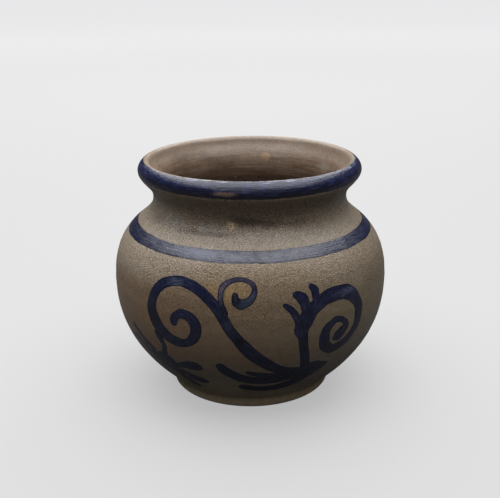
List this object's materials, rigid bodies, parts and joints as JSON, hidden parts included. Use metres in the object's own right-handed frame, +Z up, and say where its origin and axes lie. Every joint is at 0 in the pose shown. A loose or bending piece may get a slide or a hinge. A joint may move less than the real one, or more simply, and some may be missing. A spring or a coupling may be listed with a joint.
{
  "type": "vase",
  "caption": "Round-bellied stoneware pot with flared neck, rolled lip and ring foot, its rim, shoulder line and scroll ornament brushed in cobalt slip under a salt glaze.",
  "frame": {"origin": "centre of the foot ring on the surface that the pot stands on", "axes": "+Z up along the axis that the pot was turned about; -Y is the front, where the middle of the ornament faces"},
  "size_m": [0.1524, 0.153, 0.13],
  "materials": {
    "salt_glazed_stoneware": "warm grey-brown salt-glazed stoneware, fine orange-peel grain, soft sheen",
    "cobalt_slip": "brushed dark cobalt blue under the glaze, glossy, streaked, paler where thin"
  },
  "bodies": {
    "root": {"clay_body": "salt_glazed_stoneware", "rim_band": "cobalt_slip", "shoulder_band": "cobalt_slip", "front_left_scroll": "cobalt_slip", "front_right_volute": "cobalt_slip", "front_small_curl": "cobalt_slip", "front_branch": "cobalt_slip", "front_knot": "cobalt_slip", "front_long_spray": "cobalt_slip", "front_short_spray": "cobalt_slip", "front_upper_leaf": "cobalt_slip", "front_middle_leaf": "cobalt_slip", "front_lower_leaf": "cobalt_slip", "front_keel_upper": "cobalt_slip", "front_keel_barb": "cobalt_slip", "front_keel_lower": "cobalt_slip", "front_low_tuft": "cobalt_slip", "front_middle_tuft": "cobalt_slip", "front_high_tuft": "cobalt_slip", "back_left_scroll": "cobalt_slip", "back_right_volute": "cobalt_slip", "back_small_curl": "cobalt_slip", "back_branch": "cobalt_slip", "back_knot": "cobalt_slip", "back_long_spray": "cobalt_slip", "back_short_spray": "cobalt_slip", "back_upper_leaf": "cobalt_slip", "back_middle_leaf": "cobalt_slip", "back_lower_leaf": "cobalt_slip", "back_keel_upper": "cobalt_slip", "back_keel_barb": "cobalt_slip", "back_keel_lower": "cobalt_slip", "back_low_tuft": "cobalt_slip", "back_middle_tuft": "cobalt_slip", "back_high_tuft": "cobalt_slip"}
  },
  "joints": []
}
